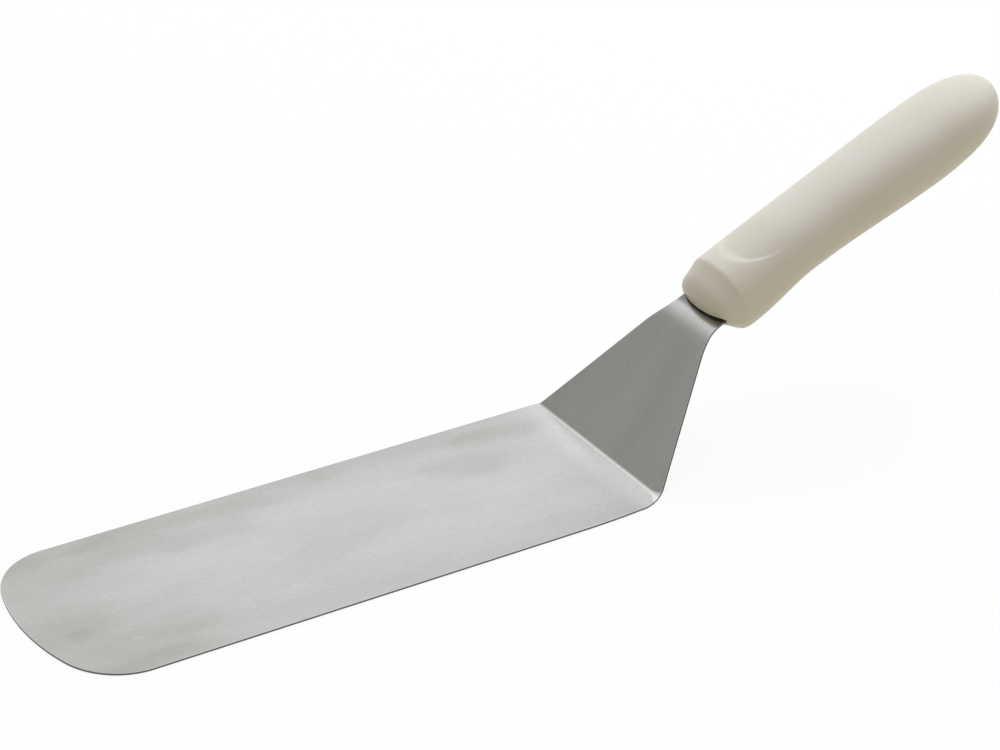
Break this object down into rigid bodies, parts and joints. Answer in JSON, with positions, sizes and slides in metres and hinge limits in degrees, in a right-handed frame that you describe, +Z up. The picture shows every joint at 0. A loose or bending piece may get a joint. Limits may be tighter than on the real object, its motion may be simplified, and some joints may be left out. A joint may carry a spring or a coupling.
{
  "type": "flexible turner",
  "caption": "Offset kitchen turner: a long flat flexible steel blade with a rounded tip, cranked up through a tapered shank to a plastic handle, for lifting and turning food.",
  "frame": {"origin": "middle of the blade's flat underside", "axes": "+X along the blade from its tip towards the handle, +Y across the blade, +Z up out of the blade's upper face"},
  "size_m": [0.3616, 0.073, 0.1033],
  "materials": {
    "steel": "brushed lengthwise",
    "grip": "satin moulding"
  },
  "bodies": {
    "root": {"blade": "steel", "handle": "grip"}
  },
  "joints": []
}
